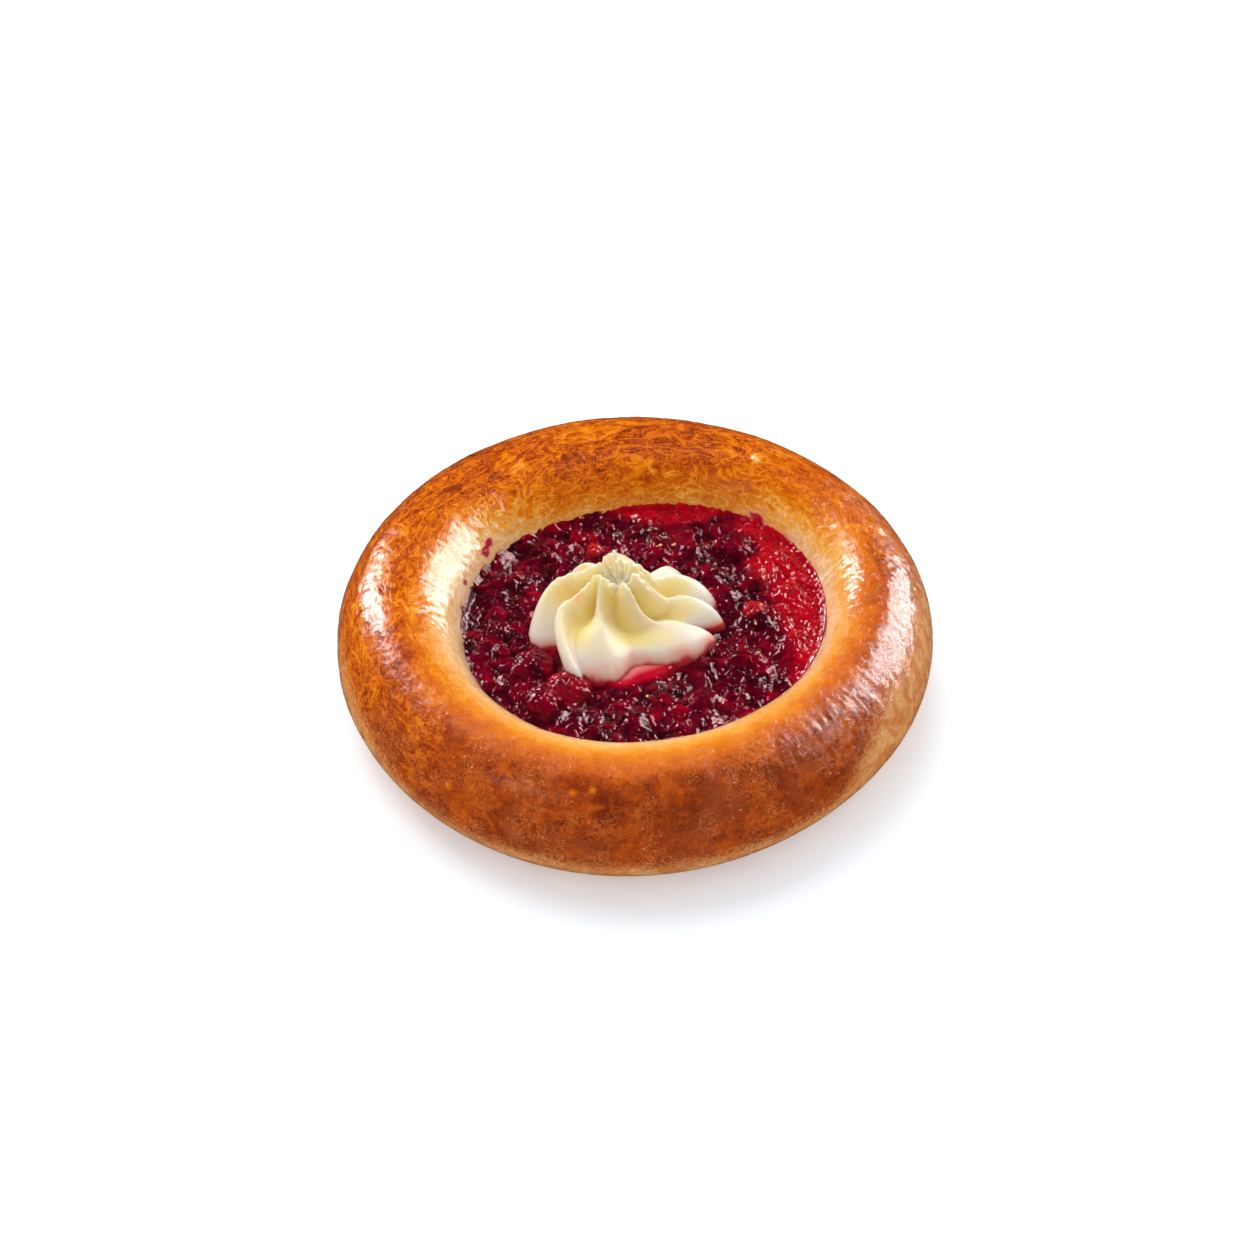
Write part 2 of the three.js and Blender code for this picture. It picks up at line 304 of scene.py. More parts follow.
# ---------------------------------------------------------------- dough
# A ring of enriched dough that has risen round a pressed well and been glazed with egg. It is brown
# on its crown, and pale in the well and under the waist. The skin is drawn into fine threads, with
# creases across the ring at the right, a few blisters, and smears of berry juice on the wall.
waist_height, crown_height, tuck_depth = 10.2, 24.1, 10.6
floor_thickness, well_corner = 5.0, 7.0
crown_radius = (rim_radius + well_radius) / 2
crown_rise = crown_height - waist_height
half_ring = ring_width / 2

# Places on the ring: degrees round the bun, degrees round the ring's section (0 at the waist and 90 on
# the crown), and half of what they measure across in millimetres.
blisters = ((-127, 26, 1.2), (-102, 54, 0.9), (-98, 58, 0.9), (-136, 34, 1.0), (57, 99, 1.8), (20, 70, 1.0))
scorches = (
    (-179, 86, 4.5),
    (106, 102, 5.0),
    (118, 92, 3.5),
    (-95, 43, 6.0),
    (-77, 54, 6.0),
    (-60, 40, 5.0),
    (125, 55, 7.0),
    (150, 60, 6.0),
)
smears = (
    (146, 142, 2.2),
    (149, 146, 2.2),
    (165, 148, 1.6),
    (175, 154, 1.8),
    (50, 156, 4.5),
    (38, 160, 4.5),
)
drawn_along = (0.4, 0.4, 1)  # a pattern on the skin is longer along the ring than over its section


def new_group(name, sizes):
    """A Geometry Nodes group with one named input for each size, and its wires."""
    group = bpy.data.node_groups.new(name, "GeometryNodeTree")
    group.interface.new_socket("Geometry", in_out="INPUT", socket_type="NodeSocketGeometry")
    for size, value in sizes.items():
        kind = "NodeSocketInt" if isinstance(value, int) else "NodeSocketFloat"
        group.interface.new_socket(size, in_out="INPUT", socket_type=kind)
    group.interface.new_socket("Geometry", in_out="OUTPUT", socket_type="NodeSocketGeometry")
    nodes = Nodes(group)
    start = nodes.add("NodeGroupInput")
    return group, nodes, start


def end_group(nodes, geometry, finish):
    """Ends a Geometry Nodes group: its geometry comes out as one smooth mesh in its material."""
    whole = nodes.add("GeometryNodeRealizeInstances", {0: geometry})
    smooth = nodes.add("GeometryNodeSetShadeSmooth", {"Geometry": whole})
    finished = nodes.add("GeometryNodeSetMaterial", {"Geometry": smooth, "Material": finish})
    nodes.add("NodeGroupOutput", {0: finished})


def grown(name, group, sizes, start_mesh=None, move=to_frame):
    """The plain mesh piece that a Geometry Nodes group makes with the sizes given, moved into the frame."""
    piece = in_scene(name, start_mesh or bpy.data.meshes.new(name))
    shape = piece.modifiers.new("shape", "NODES")
    shape.node_group = group
    for item in group.interface.items_tree:
        if item.in_out == "INPUT" and item.name in sizes:
            shape[item.identifier] = sizes[item.name]
    mesh = bpy.data.meshes.new_from_object(piece.evaluated_get(bpy.context.evaluated_depsgraph_get()))
    piece.modifiers.clear()
    piece.data = mesh
    mesh.transform(move)
    return piece


def rising(value, start, end):
    """0 up to start and 1 from end on, with a smooth step between them. Start may be the larger one."""
    share = np.clip((value - start) / (end - start), 0, 1)
    return share * share * (3 - 2 * share)


def uneven_radius(radius, angle):
    """The radius that a point of an even bun moves out to."""
    share = rising(radius, well_radius, rim_radius)
    pushed = push(well_lobes, angle) * (1 - share) + push(rim_lobes, angle) * share
    return radius + np.clip(radius / well_radius, 0, 1) * pushed


def on_ring(degrees_round, section_degrees):
    """The point of the ring's surface at a place."""
    angle, section = math.radians(degrees_round), math.radians(section_degrees)
    radius = uneven_radius(crown_radius + half_ring * math.cos(section), angle)
    height = waist_height + crown_rise * math.sin(section)
    return (radius * math.cos(angle), radius * math.sin(angle), height)


def thread(pattern, width):
    """Thin winding lines, where a slow pattern passes its middle."""
    return abs(pattern - 0.5).rising(width, 0.0)


crust, nodes, shader = material("crust", ior=1.5)
place = nodes.millimetres()
wrap = nodes.add("ShaderNodeAttribute", attribute_name="wrap").output("Vector")
# The mark for how baked the skin is also holds painted shade and painted light at the edges of the brown.
bake_and_shade, under, scorch, smear, blister = map(nodes.mark, ("bake_and_shade", "under", "scorch", "smear", "blister"))
along_ring = nodes.vector("MULTIPLY", wrap, drawn_along)


def toward(degrees):
    """1 on the side of the bun that faces this way, down to -1 on the far side."""
    angle = math.radians(degrees)
    way = (math.cos(angle) / crown_radius, math.sin(angle) / crown_radius, 0)
    return nodes.vector("DOT_PRODUCT", wrap, way).output("Value")


front = toward(-90).rising(0.0, 0.9)
back = toward(110).rising(0.2, 1.0)
right = toward(-10).rising(0.45, 0.95)

# The threads in the glaze lie in a web that is dense at the left and behind, and thin at the right.
long_threads = thread(nodes.noise(along_ring, 0.3, 4.0, 1.6), 0.06)
crossing_threads = thread(nodes.noise(place, 0.42, 4.0, 1.8, offset=7.0), 0.05)
web_drift = (nodes.noise(place, 0.06, 2.0, offset=31.0) - 0.5) * 1.5
web = 0.15 + 0.85 * (toward(125) + web_drift).rising(-0.6, 0.5)
threads = long_threads.most(crossing_threads * 0.8) * web
curls = thread(nodes.noise(place, 0.62, 3.0, 2.2, offset=61.0), 0.07)
curl_share = curls * nodes.noise(place, 0.16, 2.0, offset=71.0).rising(0.4, 0.65)
cracks = thread(nodes.noise(place, 0.5, 2.0, 2.5, offset=41.0), 0.05) * right

patches = nodes.noise(place, 0.1, 3.0, 0.5)
cells = nodes.noise(place, 0.3, 4.0, 1.0, offset=5.0)
grit = nodes.noise(place, 1.3, 4.0, 1.0)
pits = nodes.noise(along_ring, 0.6, 3.0, 0.5, offset=17.0).rising(0.52, 0.66) * web

# Small raised beads of glaze, whose pale colour is painted glints: on some of the cells of a scattered
# pattern.
bead = nodes.add("ShaderNodeTexVoronoi", {"Vector": place, "Scale": 0.62}, feature="F1")
bead_draw = nodes.add("ShaderNodeSeparateColor", {0: bead.output("Color")})
beads_and_glints = bead.rising(0.12, 0.05) * bead_draw.above(0.72) * bake_and_shade

# The tone is uneven from the bake. It is also darker at the front, partly as painted shade, as the front
# faces away from the light.
uneven_bake_and_shade = (
    (patches - 0.5) * 0.5
    + (cells - 0.5) * 0.6
    + (grit - 0.5) * 0.34
    + front * 0.16
    + back * 0.08
    + pits * 0.16
    + scorch * (cells - 0.25) * 0.4
    - blister * 0.4
)
brown = bake_and_shade * 0.72 + 0.04 + (uneven_bake_and_shade - threads * 0.4 - curl_share * 0.1) * (0.3 + 0.7 * bake_and_shade)
baked_and_shaded = nodes.add(
    "ShaderNodeValToRGB",
    {0: brown},
    stops=[
        (0.0, srgb(252, 208, 158)),
        (0.16, srgb(246, 174, 76)),
        (0.38, srgb(228, 130, 12)),
        (0.62, srgb(208, 96, 4)),
        (0.85, srgb(166, 64, 6)),
        (1.0, srgb(124, 40, 2)),
    ],
)
# Rosy patches, more of them at the front, are a painted satin reflection.
painted_satin = nodes.mix(patches.rising(0.5, 0.64) * (0.08 + 0.16 * front) * bake_and_shade, baked_and_shaded, srgb(206, 100, 50))
tan = nodes.mix(curl_share * (0.06 + 0.16 * front), painted_satin, srgb(232, 158, 92))
pale = nodes.mix(cells.rising(0.36, 0.64), srgb(244, 184, 118), srgb(218, 134, 70))
paler = nodes.mix((under + (curls * 0.6 + cells - 0.8) * 0.65).rising(0.05, 0.95) * 0.85, tan, pale)
juice_edge = smear + (nodes.noise(along_ring, 0.7, 3.0, offset=51.0) - 0.5) * 1.1
stained = nodes.mix(juice_edge.rising(0.2, 0.7) * 0.6, paler, srgb(226, 130, 120))
juicy = nodes.mix(juice_edge.rising(0.55, 0.75), stained, srgb(186, 12, 44))
# The pale colour on the beads is painted glints.
crust_colour = nodes.mix(beads_and_glints * 0.6, juicy, srgb(255, 226, 170))

# How far each pattern stands out of the skin, in millimetres.
fine_relief = (
    threads * 0.016
    + curls * (0.004 + 0.01 * front)
    + grit * 0.001
    + cells * 0.045
    - pits * 0.01
    - cracks * 0.035
    + beads_and_glints * 0.12
)
bump = nodes.add("ShaderNodeBump", {"Height": fine_relief, "Distance": MM, "Strength": 1.0})
glaze_roughness = 0.03 + 0.03 * grit + 0.03 * threads + 0.1 * front * (1 - beads_and_glints)
wire_up(shader, base_color=crust_colour, roughness=glaze_roughness, normal=bump)

dough_sizes = {
    "Columns": 720,
    "Rows": 130,
    "Rim Radius": rim_radius,
    "Well Radius": well_radius,
    "Waist Height": waist_height,
    "Crown Height": crown_height,
    "Tuck Depth": tuck_depth,
    "Floor Thickness": floor_thickness,
    "Well Corner": well_corner,
    "Wrinkle Depth": 0.07,
    "Crease Height": 0.16,
    "Blister Height": 0.4,
    "Swell": 0.35,
}
dough_group, nodes, start = new_group("dough", dough_sizes)
rim_size, well_size = start.output("Rim Radius"), start.output("Well Radius")
waist, crown = start.output("Waist Height"), start.output("Crown Height")
tuck, corner_size = start.output("Tuck Depth"), start.output("Well Corner")
thickness = start.output("Floor Thickness")

sheet = nodes.add(
    "GeometryNodeMeshGrid",
    {
        "Size X": 1.0,
        "Size Y": 1.0,
        "Vertices X": start.output("Columns"),
        "Vertices Y": start.output("Rows"),
    },
)
sheet_x, sheet_y, _ = nodes.parts(nodes.add("GeometryNodeInputPosition"))
turn = sheet_x * (2 * math.pi)
on_profile = sheet_y + 0.5

# The profile runs from the middle of the base out to the tuck, round the section, down the wall of the
# well and its corner, and over the well's floor to the middle. Each stretch has its share of the rows.
base_share, section_share, corner_share = 0.03, 0.86, 0.05
floor_share = 1 - base_share - section_share - corner_share
base_turn = -math.asin(waist_height / tuck_depth)


def stretch(start_share, share):
    """How far along one stretch of the profile, from 0 to 1."""
    return ((on_profile - start_share) / share).most(0.0).least(1.0)


def lobed(lobes):
    """The push of the lobes, as a wire, at each turn round the bun."""
    return sum(size * ((turn - math.radians(at)) * waves).cosine() for waves, size, at in lobes)


def at_turn(radius, height):
    """The point of the bun at this radius and height."""
    return nodes.add("ShaderNodeCombineXYZ", {0: radius * turn.cosine(), 1: radius * turn.sine(), 2: height})


section = base_turn + stretch(base_share, section_share) * (math.pi - base_turn)
into_corner = stretch(base_share + section_share, corner_share) * (math.pi / 2)
to_middle = stretch(1 - floor_share, floor_share)

half_width = (rim_size - well_size) / 2
outward, upward = section.cosine(), section.sine()
depth = tuck + (crown - waist - tuck) * upward.above(0.0)
even_radius = (well_size + half_width + half_width * outward - corner_size * (1 - into_corner.cosine())) * (
    stretch(0.0, base_share) * (1 - to_middle)
)
height = waist + depth * upward - (waist - thickness) * into_corner.sine()
near_rim = even_radius.rising(well_size, rim_size)
pushed = lobed(well_lobes) * (1 - near_rim) + lobed(rim_lobes) * near_rim
smooth_radius = even_radius + (even_radius / well_size).least(1.0) * pushed
smooth_place = at_turn(smooth_radius, height)


def between(low, high, soft):
    """1 where the section's degrees lie between two values, with soft ends."""
    rise = section.rising(math.radians(low - soft), math.radians(low + soft))
    return rise * section.rising(math.radians(high + soft), math.radians(high - soft))


def around_turn(degrees, reach):
    """1 at a turn round the bun, fading out at reach degrees on either side."""
    return (turn - math.radians(degrees)).cosine().rising(math.cos(math.radians(reach)), 1.0)


def bake_and_shade_edge(degrees, *swings):
    """Where on the section an edge of the baked skin lies. It is swung by some degrees round a turn, which
    is partly painted light and shade.
    """
    edge = math.radians(degrees)
    for at, reach, swing in swings:
        edge = edge + around_turn(at, reach) * math.radians(swing)
    return edge


def spots(places, soft):
    """1 on each of the places on the ring, fading out towards its edge."""
    found = 0.0
    for degrees_round, section_degrees, half in places:
        middle = on_ring(degrees_round, section_degrees)
        away = nodes.vector("DISTANCE", smooth_place, middle).output("Value")
        found = away.rising(half, half * soft).most(found)
    return found


wrap_length = 13.0  # millimetres of skin to one radian of the section
wrap_place = nodes.add(
    "ShaderNodeCombineXYZ",
    {0: turn.cosine() * crown_radius, 1: turn.sine() * crown_radius, 2: section * wrap_length},
)
along = nodes.vector("MULTIPLY", wrap_place, drawn_along)
crosswise = nodes.vector("MULTIPLY", wrap_place, (1, 1, 0.16))

shows = upward.rising(-0.6, 0.0) * (1 - into_corner.sine())
swell = (nodes.noise(smooth_place, 0.07, 2.0) - 0.5) * start.output("Swell") * 2
long_wrinkles = thread(nodes.noise(along, 0.4, 2.0, 1.5), 0.1)
short_wrinkles = thread(nodes.noise(smooth_place, 0.3, 2.0, 1.5, offset=9.0), 0.06)
creased = around_turn(-44, 26) * between(8, 78, 16) + around_turn(14, 30) * between(118, 152, 10) * 0.8
creases = thread(nodes.noise(crosswise, 0.42, 2.0, 0.7), 0.09) * creased
blistered = spots(blisters, 0.25)
relief = (
    swell
    - (long_wrinkles + short_wrinkles) * start.output("Wrinkle Depth")
    + creases * start.output("Crease Height")
    + blistered * start.output("Blister Height")
) * shows
made_place = at_turn(smooth_radius + relief * outward, height + relief * upward)

# Where the dough is baked brown: over the crown, further into the well at the back than in front, and
# less far down the side at the right and at the left. The brown that reaches far into the well at the
# back is partly painted shade, and the pale front of the lip and the pale side at the right are partly
# painted light.
lip = (section - bake_and_shade_edge(118, (-90, 96, -28), (85, 66, 29))).rising(math.radians(36), math.radians(-36))
side = (section - bake_and_shade_edge(-10, (-8, 44, 60), (175, 56, 30))).rising(math.radians(-22), math.radians(22))

marked = nodes.stored(sheet, "wrap", wrap_place, "FLOAT_VECTOR")
for mark, value in {
    "bake_and_shade": lip,
    "under": 1 - side,
    "scorch": spots(scorches, 0.0),
    "smear": spots(smears, 0.0),
    "blister": blistered,
}.items():
    marked = nodes.stored(marked, mark, value)
formed = nodes.add("GeometryNodeSetPosition", {"Geometry": marked, "Position": made_place})
closed = nodes.add("GeometryNodeMergeByDistance", {"Geometry": formed, "Distance": 0.001})
end_group(nodes, closed, crust)

bun = grown("bun", dough_group, dough_sizes)
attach(bun, "root")
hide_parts("dough_ring")


# ---------------------------------------------------------------- filling
# Berries stewed until they burst, which lie as a dark, crumpled heap of skins in their own jelly.
# It reaches the wall of the well all round. The jelly stands clear of skins at the right and behind.
filling_level, filling_wave = 15.5, 0.45
rim_cling, rim_cling_width, rim_calm = 0.9, 1.2, 4.0  # the jelly climbs the wall, and is calm beside it
cream_centre, cream_half = (-1.5, -1.0), 17.0


def wall_radius(height):
    """The radius of the well's wall at a height over the table."""
    return crown_radius - half_ring * math.sqrt(1 - ((height - waist_height) / crown_rise) ** 2)


def draw(low, high, piece, use):
    """A value between two others that is the same on every run, one for each piece and each use."""
    value = math.sin(piece * 12.9898 + use * 78.233) * 43758.5453
    return low + (high - low) * (value - math.floor(value))


def closed_mesh(name, rings, marks):
    """A closed mesh from rings of points, the lowest first, with a point in the middle of each end. Its
    marks are values kept on its points: those of the rings, and those of the two middles."""
    count, columns = rings.shape[:2]
    points = rings.reshape(-1, 3)
    index = np.arange(count * columns).reshape(count, columns)
    following = np.roll(index, -1, axis=1)
    faces = np.stack([index[:-1], following[:-1], following[1:], index[1:]], -1).reshape(-1, 4).tolist()
    middles = [rings[0].mean(axis=0), rings[-1].mean(axis=0)]
    first, last = count * columns, count * columns + 1
    faces += [(first, b, a) for a, b in zip(index[0].tolist(), following[0].tolist())]
    faces += [(last, a, b) for a, b in zip(index[-1].tolist(), following[-1].tolist())]
    mesh = bpy.data.meshes.new(name)
    mesh.from_pydata(np.vstack([points, middles]).tolist(), [], faces)
    mesh.shade_smooth()
    for mark, (on_rings, on_middles) in marks.items():
        kept = mesh.attributes.new(mark, "FLOAT", "POINT")
        kept.data.foreach_set("value", np.concatenate([on_rings.ravel(), on_middles]))
    return mesh


# Berries that have kept their shape: x, y, half length, rise over the jelly, and how red against the rest.
whole_berries = (
    (-18.5, -12.0, 4.4, 1.7, 0.0),
    (-11.8, -17.6, 4.6, 1.8, 0.2),
    (-16.4, -21.0, 4.0, 1.3, 0.0),
    (22.6, 3.0, 2.7, 0.9, 0.8),
    (-7.3, 19.6, 1.6, 0.9, 0.8),
)
druplet_spacing, druplet_height, druplet_flatness = 0.8, 0.42, 0.6
druplet_half = druplet_spacing * 1.2
skin_edge = 0.3  # a berry's own colour starts over this much of its height above the heap
golden_angle = math.pi * (3 - math.sqrt(5))

# Burst berries, spread evenly over the well but for the cream and the whole berries: x, y, half length
# and rise over the jelly.
berry_size, berry_count, berry_flatness = 9.0, 44, 0.62
berry_reach = wall_radius(filling_level) - berry_size * 0.55
burst_berries = []
for i in range(berry_count):
    angle = (i * golden_angle + math.pi) % (2 * math.pi) - math.pi
    radius = uneven_radius(berry_reach * math.sqrt((i + 0.5) / berry_count), angle)
    x, y = radius * math.cos(angle), radius * math.sin(angle)
    half = berry_size / 2 * draw(0.6, 1.0, i, 1)
    from_cream = math.hypot(x - cream_centre[0], y - cream_centre[1])
    from_whole = min(math.hypot(x - at_x, y - at_y) - size for at_x, at_y, size, *_ in whole_berries)
    if from_cream > cream_half + half * 0.6 and from_whole > half * 0.4:
        burst_berries.append((x, y, half, draw(0.7, 1.5, i, 2)))

# The heap is a stack of rings: a few up its side, just inside the corner and the wall of the well,
# many over its open top, and a few more under the cream.
filling_columns, open_rows, covered_rows = 700, 108, 6
covered_radius, innermost_radius = 11.0, 0.5
angle = np.linspace(-math.pi, math.pi, filling_columns, endpoint=False)
rim_of_filling = wall_radius(filling_level) + 0.25
side_radii = (well_radius - well_corner, well_radius - 2.0, well_radius - 0.3)
side_heights = (floor_thickness + 0.3, 7.5, waist_height)
open_radii = np.linspace(rim_of_filling, covered_radius, open_rows)
covered_radii = np.linspace(covered_radius, innermost_radius, covered_rows + 1)[1:]
top_radii = np.concatenate([open_radii, covered_radii])[:, None]
far_below = -100.0


def flat_rings(radii):
    """The x and y of the filling's rings, a row for each radius."""
    reach = uneven_radius(radii, angle)
    return reach * np.cos(angle), reach * np.sin(angle)


def dome(middle_x, middle_y, half, flatness):
    """How far under its top a flattened ball lies at each point, and far below beside it."""
    aside = np.hypot(x - middle_x, y - middle_y) / half
    return np.where(aside < 1, half * flatness * (np.sqrt(np.clip(1 - aside**2, 0, 1)) - 1), far_below)


def druplets(berry_x, berry_y, half):
    """The relief of a whole berry: small domes that wind out from its middle by the golden angle."""
    tops = np.full_like(x, far_below)
    for i in range(round((half / druplet_spacing) ** 2)):
        out, swing = druplet_spacing * math.sqrt(i + 0.5), i * golden_angle
        middle_x, middle_y = berry_x + out * math.cos(swing), berry_y + out * math.sin(swing)
        tops = np.maximum(tops, dome(middle_x, middle_y, druplet_half, druplet_flatness))
    return druplet_height * np.clip(1 + tops / druplet_height, 0, 1)


x, y = flat_rings(top_radii)
waves = np.sin(x * 0.55 + 1) * np.cos(y * 0.48) + np.sin((x + y) * 0.31)
z = filling_level + filling_wave * waves * rising(top_radii, rim_of_filling, rim_of_filling - rim_calm)
for berry_x, berry_y, half, rise in burst_berries:
    z = np.maximum(z, filling_level + rise + dome(berry_x, berry_y, half, berry_flatness))
berry, red = np.zeros_like(x), np.zeros_like(x)
for berry_x, berry_y, half, rise, redness in whole_berries:
    skin_height = filling_level + rise + dome(berry_x, berry_y, half, berry_flatness)
    skin_height = skin_height + druplets(berry_x, berry_y, half)
    shows = rising((skin_height - z) / skin_edge, 0, 1)
    berry, red = np.maximum(berry, shows), np.maximum(red, shows * redness)
    z = np.maximum(z, skin_height)

# Juice has run out over the heap along the front of the cream, between two turns round the cream's
# middle, in degrees. It reaches out to a wavy edge, and further in a run at one turn. Its mark is 1,
# and up to 2 beside the cream, where cream tints it.
juice_level = filling_level + 0.55
juice_start, juice_start_fade, juice_end, juice_end_fade = 252, 8, 350, 20
juice_reach, juice_edge_fade, wave_count, wave_height = 16.2, 1.6, 9, 0.5
run_turn, run_width, run_length = 268, 11, 2.0
tint_inset, tint_fade = 1.2, 3.5
from_cream = np.hypot(x - cream_centre[0], y - cream_centre[1])
cream_turn = np.degrees(np.arctan2(y - cream_centre[1], x - cream_centre[0])) % 360
starts = rising(cream_turn, juice_start, juice_start + juice_start_fade)
ends = rising(cream_turn, juice_end, juice_end - juice_end_fade)
runs_to = juice_reach + run_length * np.exp(-(((cream_turn - run_turn) / run_width) ** 2))
wavy_edge = runs_to + np.sin(np.radians(cream_turn * wave_count)) * wave_height
juice = rising(from_cream, wavy_edge, wavy_edge - juice_edge_fade) * starts * ends
tinted = rising(from_cream, runs_to - tint_inset, runs_to - tint_inset - tint_fade)
z = z + (np.maximum(z, juice_level) - z) * juice
z = z + rim_cling * rising(top_radii, rim_of_filling - rim_cling_width, rim_of_filling)

side_x, side_y = flat_rings(np.array(side_radii)[:, None])
side_z = np.array(side_heights)[:, None] + np.zeros_like(side_x)
rings = np.concatenate([np.stack([side_x, side_y, side_z], -1), np.stack([x, y, z], -1)])
unmarked = np.zeros_like(side_x)
heap_marks = {
    name: (np.concatenate([unmarked, value]), (0.0, 0.0))
    for name, value in (("berry", berry), ("red", red), ("juice", juice * (1 + tinted)))
}
heap = closed_mesh("filling", rings, heap_marks)

jam, nodes, shader = material(
    "jam",
    specular_ior_level=0.34,
    specular_tint=(1.0, 0.62, 0.6, 1.0),
    subsurface_weight=0.25,
    subsurface_scale=0.002,
    subsurface_radius=(1.0, 0.1, 0.1),
)
place = nodes.millimetres()
jelly, fold, red, juice = map(nodes.mark, ("jelly", "fold", "red", "juice"))
patches = nodes.noise(place, 0.3, 3.0, 0.5)
fine = nodes.noise(place, 1.5, 3.0, 1.5)
sheen = nodes.noise(place, 0.5, 2.0, 0.5, offset=3.0).rising(0.5, 0.7)
skin = nodes.add(
    "ShaderNodeValToRGB",
    {0: (patches - 0.5) * 1.1 + fold * 0.4 + (fine - 0.5) * 0.3 + 0.16},
    stops=[
        (0.1, srgb(58, 0, 16)),
        (0.35, srgb(110, 0, 26)),
        (0.6, srgb(154, 0, 26)),
        (0.9, srgb(204, 4, 30)),
    ],
)
jellied = nodes.mix(jelly * (0.4 + 0.5 * fold), skin, srgb(204, 0, 20))
reddened = nodes.mix(red * (0.3 + 0.5 * patches), jellied, srgb(214, 40, 44))
run_out = nodes.mix(juice * 0.8, reddened, srgb(190, 8, 36))
jam_colour = nodes.mix(juice.rising(1.2, 1.9) * (0.6 + 0.4 * fine), run_out, srgb(236, 130, 130))
bump = nodes.add("ShaderNodeBump", {"Height": fine, "Distance": 0.05 * MM, "Strength": 1.0})
wet_roughness = 0.03 + 0.03 * fine + 0.05 * sheen
wire_up(shader, base_color=jam_colour, roughness=wet_roughness, coat_weight=jelly * 0.5, normal=bump)
heap.materials.append(jam)

crumple_sizes = {
    "Skin Relief": 1.0,
    "Fold Relief": 0.25,
    "Ripple Relief": 0.9,
    "Skin Size": 3.6,
    "Fold Size": 1.5,
    "Seed": 3.0,
}
crumple_group, nodes, start = new_group("crumple", crumple_sizes)
across, behind, heap_height = nodes.parts(nodes.add("GeometryNodeInputPosition"))
flat_place = nodes.add("ShaderNodeCombineXYZ", {0: across, 1: behind, 2: start.output("Seed")})
bend = nodes.vector("SUBTRACT", nodes.noise(flat_place, 0.3, 2.0).output("Color"), (0.5, 0.5, 0.5))
bent = nodes.vector("ADD", flat_place, nodes.vector("MULTIPLY", bend, (6.0, 6.0, 0.0)))


def flakes(size, offset):
    """Skins that overlap like flakes: each cell is tilted its own way."""
    scaled = nodes.vector("MULTIPLY_ADD", bent, 1 / size, (offset, offset, 0))
    cell = nodes.add("ShaderNodeTexVoronoi", {"Vector": scaled, "Scale": 1.0}, feature="F1")
    tilt = nodes.vector("SUBTRACT", cell.output("Color"), (0.5, 0.5, 0.5))
    from_middle = nodes.vector("SUBTRACT", scaled, cell.output("Position"))
    slope = nodes.vector("DOT_PRODUCT", tilt, from_middle).output("Value")
    return slope * 1.6 - cell.output("Distance") * 0.6


on_top = heap_height.rising(filling_level - 2.0, filling_level - 0.4)
skins = flakes(start.output("Skin Size"), 0.0) * start.output("Skin Relief")
folds = flakes(start.output("Fold Size"), 11.0) * start.output("Fold Relief")
ripples = (nodes.noise(flat_place, 0.7, 2.0, 1.0, offset=21.0) - 0.5) * start.output("Ripple Relief")

# The jelly is clear of skins past a drifting line at the right and another behind. Skins are flatter
# in it, on the whole berries and under the juice, and the jelly ripples instead.
edge_drift = (nodes.noise(flat_place, 0.14, 2.0, offset=9.0) - 0.5) * 12
clear_right = (across * 0.97 + behind * 0.26 + edge_drift).rising(24.0, 28.0)
clear_behind = (behind + edge_drift * 0.5 - abs(across - 6.0) * 0.2).rising(26.0, 29.0)
jelly_share = clear_right.most(clear_behind)
berry = nodes.add("GeometryNodeInputNamedAttribute", {"Name": "berry"}, data_type="FLOAT")
juice = nodes.add("GeometryNodeInputNamedAttribute", {"Name": "juice"}, data_type="FLOAT").least(1.0)
crumpled_share = (1 - jelly_share * 0.6) * (1 - berry * 0.8) * (1 - juice * 0.85)
rippled_share = (0.45 + 1.1 * jelly_share) * (1 - juice * 0.5)
relief = ((skins + folds) * crumpled_share + ripples * rippled_share) * on_top
marked = nodes.stored(start.output("Geometry"), "jelly", jelly_share)
marked = nodes.stored(marked, "fold", (relief + 0.7).rising(0.0, 1.5))
lifted = nodes.add("ShaderNodeCombineXYZ", {2: relief})
crumpled = nodes.add("GeometryNodeSetPosition", {"Geometry": marked, "Offset": lifted})
end_group(nodes, crumpled, jam)

filling = grown("filling", crumple_group, crumple_sizes, heap)
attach(filling, "root")
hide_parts("berry_filling")


# ---------------------------------------------------------------- seeds
# The seeds of the burst berries, pale yellow grains about a millimetre long that stick to the skins.
# They lie in a band round the cream, and the group is in metres, as the finished filling is.
band_start, band_end, band_fade = 19.0 * MM, 30.0 * MM, 1.0 * MM  # from the cream's middle
seed_range = {"Min": 0.7, "Max": 1.1}  # the smallest and the largest, as shares of the length below
turn_range = {"Min": (0, 0, 0), "Max": (0.6, 0.6, 6.28)}  # tipped a little, and turned any way round
seed_width, seed_thickness = 0.55, 0.45  # as shares of its length

seed_finish, nodes, shader = material("seed", roughness=0.3)
tint = nodes.noise(nodes.millimetres(), 0.5)
wire_up(shader, base_color=nodes.mix(tint, srgb(222, 150, 60), srgb(236, 196, 120)))

